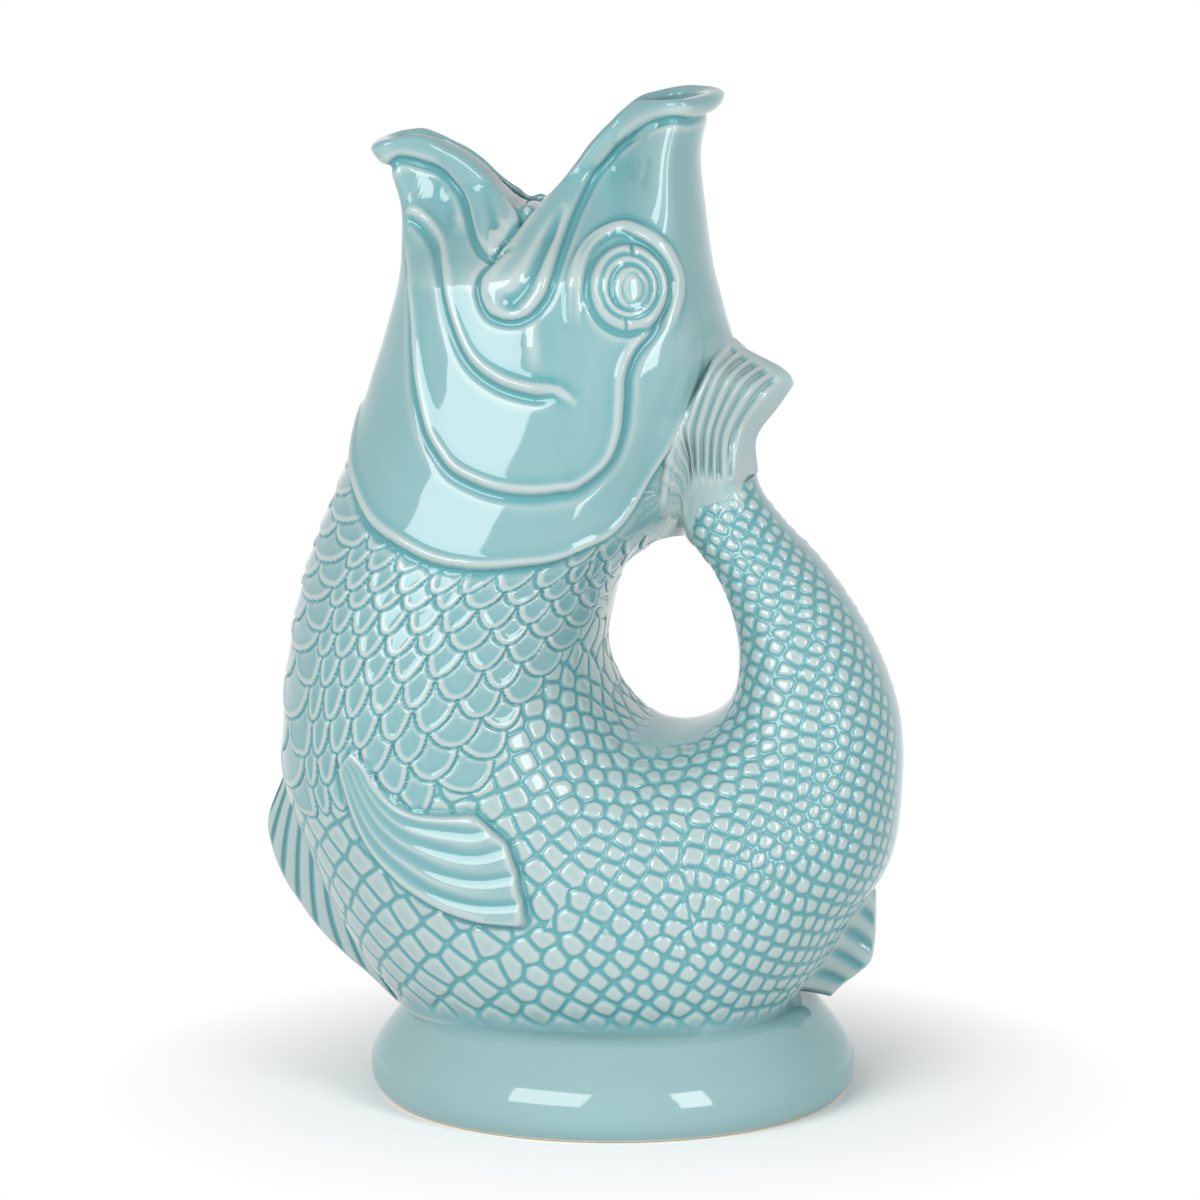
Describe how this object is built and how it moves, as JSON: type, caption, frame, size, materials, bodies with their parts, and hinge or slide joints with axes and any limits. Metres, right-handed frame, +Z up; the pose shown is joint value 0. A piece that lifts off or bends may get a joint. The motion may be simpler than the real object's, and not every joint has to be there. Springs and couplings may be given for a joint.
{
  "type": "gurgle jug",
  "caption": "Glazed earthenware jug in the shape of a leaping fish, with an open mouth as the spout and its tail curled round as the handle.",
  "frame": {"origin": "middle of the foot's rim, on the table", "axes": "+X towards the tail, -X towards the lower lip, +Y across the body to the fish's right side, +Z up"},
  "size_m": [0.1589, 0.121, 0.2513],
  "materials": {
    "glaze": "smooth aqua earthenware glaze, high gloss, pooled darker in the grooves",
    "glaze_thin": "the same aqua glaze broken thin and pale over raised edges, high gloss"
  },
  "bodies": {
    "root": {"head_shell": "glaze", "trunk_shell": "glaze", "belly_shell": "glaze", "tail_handle": "glaze", "pedestal_foot": "glaze", "tail_fin": "glaze_thin", "belly_fin": "glaze_thin", "anal_fin": "glaze_thin", "side_fin_left": "glaze_thin", "side_fin_right": "glaze_thin", "gill_cover_left": "glaze", "gill_cover_right": "glaze", "cheek_plate_left": "glaze", "cheek_plate_right": "glaze", "eye_ring_left": "glaze_thin", "eye_ring_right": "glaze_thin", "eyeball_left": "glaze_thin", "eyeball_right": "glaze_thin", "upper_lip": "glaze_thin", "lower_lip": "glaze_thin"}
  },
  "joints": []
}
